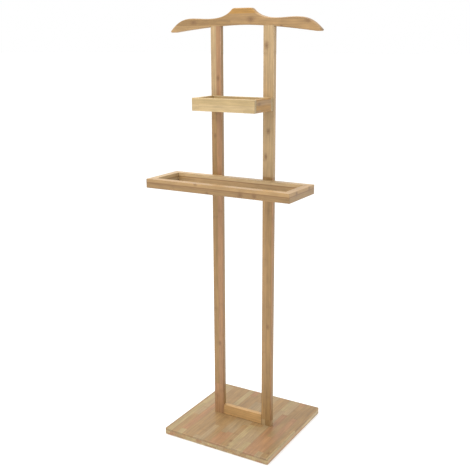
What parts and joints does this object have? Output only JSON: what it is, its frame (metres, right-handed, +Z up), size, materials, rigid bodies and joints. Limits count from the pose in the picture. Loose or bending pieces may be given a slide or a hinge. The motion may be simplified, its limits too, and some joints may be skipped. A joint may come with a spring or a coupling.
{
  "type": "valet stand",
  "caption": "Bamboo valet stand: square base, flat uprights, coat hanger board on top, open tray and open trouser frame in front.",
  "frame": {"origin": "on the floor, under the centre of the square base", "axes": "+Z up; -Y is the front, where the tray and the trouser frame are; +X to the right when the stand is seen from the front"},
  "size_m": [0.44, 0.33, 1.167],
  "materials": {
    "base_bamboo": "laminated bamboo board, satin clear lacquer",
    "upright_bamboo": "laminated bamboo, satin clear lacquer",
    "hanger_bamboo": "laminated bamboo, satin clear lacquer",
    "tray_bamboo": "laminated bamboo, satin clear lacquer",
    "trouser_bamboo": "laminated bamboo, satin clear lacquer",
    "dowel_beech": "plain turned beech",
    "screw_steel": "zinc-plated steel",
    "foot_felt": "brown wool felt"
  },
  "bodies": {
    "root": {"base_board": "base_bamboo", "upright_left": "upright_bamboo", "upright_right": "upright_bamboo", "bottom_rail": "upright_bamboo", "hanger_board": "hanger_bamboo", "tray_front": "tray_bamboo", "tray_back": "tray_bamboo", "tray_side_left": "tray_bamboo", "tray_side_right": "tray_bamboo", "tray_floor": "tray_bamboo", "trouser_bar_front": "trouser_bamboo", "trouser_bar_back": "trouser_bamboo", "trouser_bar_left": "trouser_bamboo", "trouser_bar_right": "trouser_bamboo", "felt_foot_front_left": "foot_felt", "felt_foot_front_right": "foot_felt", "felt_foot_back_left": "foot_felt", "felt_foot_back_right": "foot_felt", "upright_screw_left": "screw_steel", "rail_screw_left": "screw_steel", "rail_dowel_left_lower": "dowel_beech", "tray_screw_left_lower": "screw_steel", "trouser_screw_left_lower": "screw_steel", "rail_dowel_left_upper": "dowel_beech", "tray_screw_left_upper": "screw_steel", "trouser_screw_left_upper": "screw_steel", "hanger_dowel_left_inner": "dowel_beech", "hanger_dowel_left_outer": "dowel_beech", "tray_dowel_front_left": "dowel_beech", "mitre_dowel_front_left": "dowel_beech", "tray_dowel_back_left": "dowel_beech", "mitre_dowel_back_left": "dowel_beech", "upright_screw_right": "screw_steel", "rail_screw_right": "screw_steel", "rail_dowel_right_lower": "dowel_beech", "tray_screw_right_lower": "screw_steel", "trouser_screw_right_lower": "screw_steel", "rail_dowel_right_upper": "dowel_beech", "tray_screw_right_upper": "screw_steel", "trouser_screw_right_upper": "screw_steel", "hanger_dowel_right_inner": "dowel_beech", "hanger_dowel_right_outer": "dowel_beech", "tray_dowel_front_right": "dowel_beech", "mitre_dowel_front_right": "dowel_beech", "tray_dowel_back_right": "dowel_beech", "mitre_dowel_back_right": "dowel_beech"}
  },
  "joints": []
}
